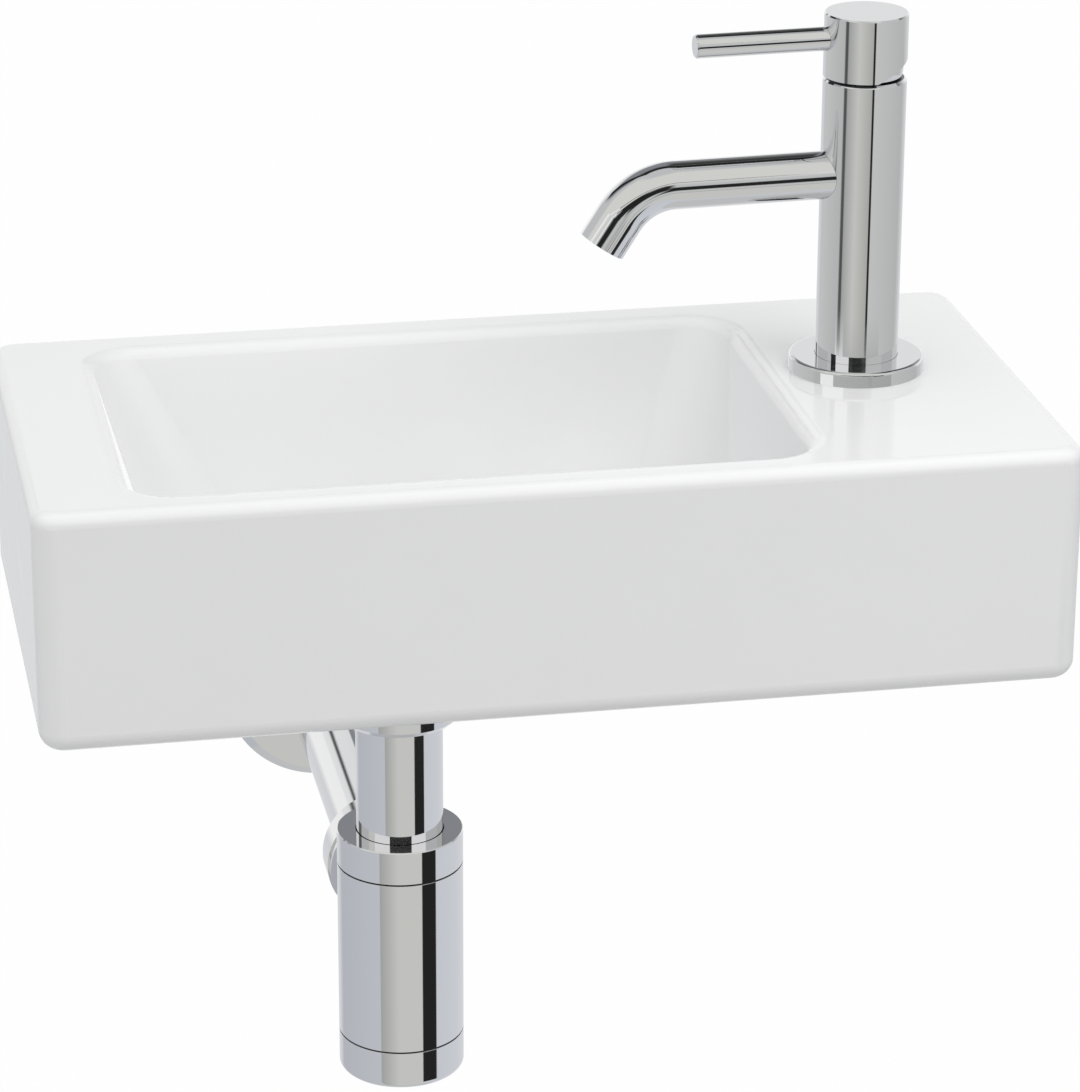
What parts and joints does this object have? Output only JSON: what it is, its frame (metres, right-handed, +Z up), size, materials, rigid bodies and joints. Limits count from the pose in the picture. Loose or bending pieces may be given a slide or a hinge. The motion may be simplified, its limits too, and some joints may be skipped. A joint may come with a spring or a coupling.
{
  "type": "hand basin",
  "caption": "Wall-hung rectangular hand basin with an off-centre bowl, side tap deck, lever mixer tap, free-flowing waste and chromed bottle trap with wall tube.",
  "frame": {"origin": "midway between the two wall bolt holes, on the back face that bears on the wall", "axes": "+X to the user's right, +Y into the wall, +Z up; the front of the basin faces -Y"},
  "size_m": [0.365, 0.32, 0.3907],
  "materials": {
    "glazed_ceramic": "glossy white glaze",
    "chrome": "polished chrome on brass",
    "rubber": "matt black rubber",
    "cartridge_plastic": "moulded acetal",
    "disc_ceramic": "lapped alumina",
    "brass": "turned brass",
    "steel": "zinc plated steel"
  },
  "bodies": {
    "basin_and_tap": {"basin": "glazed_ceramic", "base_flange": "chrome", "base_gasket": "rubber", "tap_body": "chrome", "spout": "chrome", "aerator_housing": "brass", "aerator_insert": "cartridge_plastic", "cartridge_base": "cartridge_plastic", "cartridge_shell": "cartridge_plastic", "fixed_disc": "disc_ceramic", "cartridge_nut": "brass", "dome_cap": "chrome", "fixing_stud": "steel", "rubber_washer": "rubber", "horseshoe_washer": "steel", "fixing_nut": "steel", "waste_body": "chrome", "waste_cover": "chrome", "upper_seal": "rubber", "lower_seal": "rubber", "back_nut": "brass", "union_nut": "chrome", "union_seal": "rubber", "inlet_tube": "chrome"},
    "swivel_carrier": {"cartridge_turret": "cartridge_plastic", "stem_pin": "steel"},
    "handle": {"stem": "brass", "tap_head": "chrome", "lever": "chrome", "grub_screw": "steel"},
    "ceramic_disc": {"moving_disc": "disc_ceramic", "disc_carrier": "cartridge_plastic"},
    "trap": {"trap_body": "chrome", "collar_nut": "chrome", "collar_seal": "rubber", "outlet_nut": "chrome", "outlet_seal": "rubber", "outlet_pipe": "chrome"},
    "cup_ring": {"cup_seal": "rubber"},
    "cup": {"trap_cup": "chrome"},
    "rosette": {"wall_rosette": "chrome"}
  },
  "joints": [
    {"name": "lever_swivel", "type": "hinge", "parent": "basin_and_tap", "child": "swivel_carrier", "pos_m": [0.1252, -0.084, 0.158], "axis": [0, 0, 1], "range_deg": [-45, 45]},
    {"name": "lever_lift", "type": "hinge", "parent": "swivel_carrier", "child": "handle", "pos_m": [0.1252, -0.084, 0.158], "axis": [-0.0558, 0.9984, 0], "range_deg": [0, 20]},
    {"name": "disc_slide", "type": "slide", "parent": "swivel_carrier", "child": "ceramic_disc", "axis": [0.9984, 0.0558, 0], "range_m": [-0.00385, 0]},
    {"name": "trap_height", "type": "slide", "parent": "basin_and_tap", "child": "trap", "axis": [0, 0, 1], "range_m": [-0.02, 0.012]},
    {"name": "cup_drop", "type": "slide", "parent": "trap", "child": "cup_ring", "axis": [0, 0, -1], "range_m": [0, 0.00925]},
    {"name": "cup_turn", "type": "hinge", "parent": "cup_ring", "child": "cup", "pos_m": [-0.047, -0.102, -0.2], "axis": [0, 0, -1], "range_deg": [0, 1440]},
    {"name": "rosette_slide", "type": "slide", "parent": "trap", "child": "rosette", "axis": [0, 1, 0], "range_m": [-0.102, 0.01]}
  ],
  "couplings": [
    {"joint": "disc_slide", "follows": "lever_lift", "m_per_rad": -0.011},
    {"joint": "cup_drop", "follows": "cup_turn", "m_per_rad": 0.00036606}
  ]
}
